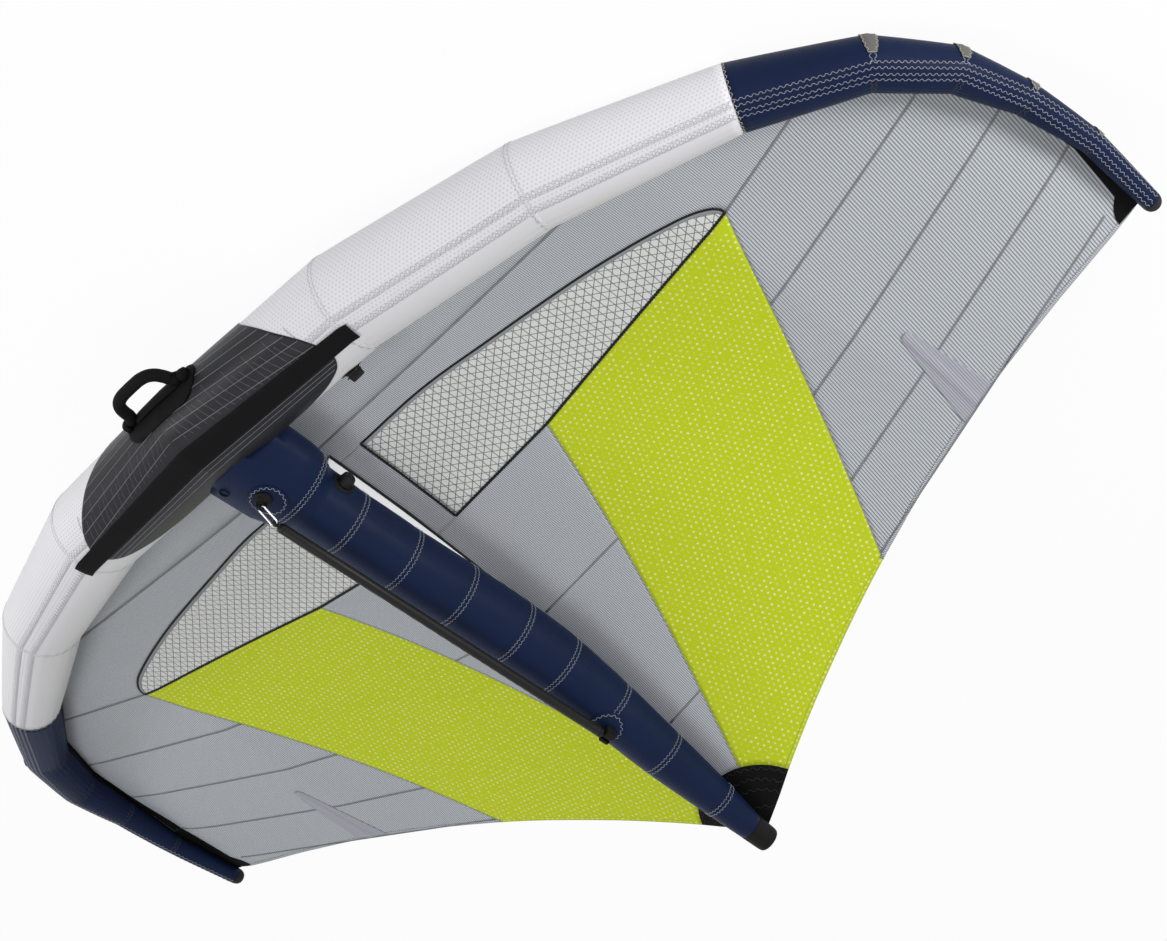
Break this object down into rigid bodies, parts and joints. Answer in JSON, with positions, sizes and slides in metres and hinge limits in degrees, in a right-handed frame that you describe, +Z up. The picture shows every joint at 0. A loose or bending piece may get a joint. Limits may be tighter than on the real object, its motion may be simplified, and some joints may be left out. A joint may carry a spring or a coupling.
{
  "type": "wingfoil wing",
  "caption": "Inflated hand-held wing for wing foiling: tubular leading edge, centre strut with a straight boom, front handle, and a sewn panel canopy with clear windows",
  "frame": {"origin": "Middle of the bounding box, on the ground under the leading edge's two lowest stretches", "axes": "+X across the span, -Y toward the leading edge, +Z up, with the strut's side of the canopy facing up as the wing is parked on a beach"},
  "size_m": [3.5916, 1.8702, 0.8439],
  "materials": {
    "pale_casing": "matt woven polyester, off-white",
    "navy_casing": "matt woven polyester, dark blue",
    "bladder_film": "smooth translucent film",
    "grey_canopy": "ripstop sailcloth, light grey",
    "bright_canopy": "ripstop sailcloth, yellow-green",
    "window_film": "clear film over a scrim, milky",
    "black_cloth": "heavy black cloth and webbing",
    "charcoal_patch": "coated dark grey reinforcing cloth",
    "pocket_cloth": "stitched grey cloth",
    "web_cloth": "white cloth",
    "boom_composite": "satin dark composite tube",
    "steel": "bright round bar",
    "rubber": "dull black rubber",
    "moulded_black": "moulded black plastic",
    "batten_rod": "flat fibre rod"
  },
  "bodies": {
    "wing": {"batten_left": "batten_rod", "batten_pocket_left": "pocket_cloth", "batten_pocket_right": "pocket_cloth", "batten_right": "batten_rod", "boom_front_lug": "black_cloth", "boom_front_pad": "navy_casing", "boom_rear_boot": "rubber", "boom_rear_pad": "navy_casing", "canopy_bright_left": "bright_canopy", "canopy_bright_right": "bright_canopy", "canopy_front_left": "grey_canopy", "canopy_front_right": "grey_canopy", "canopy_inner_left": "grey_canopy", "canopy_inner_right": "grey_canopy", "canopy_leading_left": "grey_canopy", "canopy_leading_right": "grey_canopy", "canopy_outer_1_left": "grey_canopy", "canopy_outer_1_right": "grey_canopy", "canopy_outer_2_left": "grey_canopy", "canopy_outer_2_right": "grey_canopy", "canopy_outer_3_left": "grey_canopy", "canopy_outer_3_right": "grey_canopy", "canopy_outer_4_left": "grey_canopy", "canopy_outer_4_right": "grey_canopy", "canopy_root_left": "grey_canopy", "canopy_root_right": "grey_canopy", "canopy_tail_patch": "black_cloth", "canopy_window_left": "window_film", "canopy_window_right": "window_film", "handle_anchor_left": "black_cloth", "handle_anchor_right": "black_cloth", "handle_pad": "black_cloth", "le_bladder": "bladder_film", "le_center_casing": "pale_casing", "le_center_patch": "charcoal_patch", "le_center_strap": "black_cloth", "le_outer_casing_left": "navy_casing", "le_outer_casing_right": "navy_casing", "le_tip_cap_left": "moulded_black", "le_tip_cap_right": "moulded_black", "le_valve_body": "moulded_black", "le_valve_patch": "moulded_black", "strut_bladder": "bladder_film", "strut_casing": "navy_casing", "strut_tail_cap": "black_cloth", "strut_valve_body": "moulded_black", "strut_valve_patch": "moulded_black", "strut_web_left": "web_cloth", "strut_web_right": "web_cloth", "tip_patch_left": "black_cloth", "tip_patch_right": "black_cloth"},
    "link": {"boom_link": "steel"},
    "boom": {"boom_tube": "boom_composite", "boom_front_plug": "moulded_black", "boom_rear_plug": "moulded_black"},
    "handle": {"handle_loop": "black_cloth"},
    "le_cap": {"le_valve_cap": "moulded_black"},
    "strut_cap": {"strut_valve_cap": "moulded_black"}
  },
  "joints": [
    {"name": "link_swing", "type": "hinge", "parent": "wing", "child": "link", "pos_m": [0, -0.57623, 0.36999], "axis": [1, 0, 0], "range_deg": [0, 30]},
    {"name": "boom_swing", "type": "hinge", "parent": "link", "child": "boom", "pos_m": [0, -0.53729, 0.40136], "axis": [1, 0, 0], "range_deg": [0, 35]},
    {"name": "handle_fold", "type": "hinge", "parent": "wing", "child": "handle", "pos_m": [0, -0.86089, 0.17731], "axis": [1, 0, 0], "range_deg": [-35, 35]},
    {"name": "le_valve_cap_flip", "type": "hinge", "parent": "wing", "child": "le_cap", "pos_m": [-0.37129, -0.59033, 0.24999], "axis": [0.0969, 0.5723, -0.8143], "range_deg": [0, 120]},
    {"name": "strut_valve_cap_flip", "type": "hinge", "parent": "wing", "child": "strut_cap", "pos_m": [-0.09303, -0.37849, 0.28809], "axis": [0.1908, 0.315, -0.9297], "range_deg": [0, 120]}
  ]
}
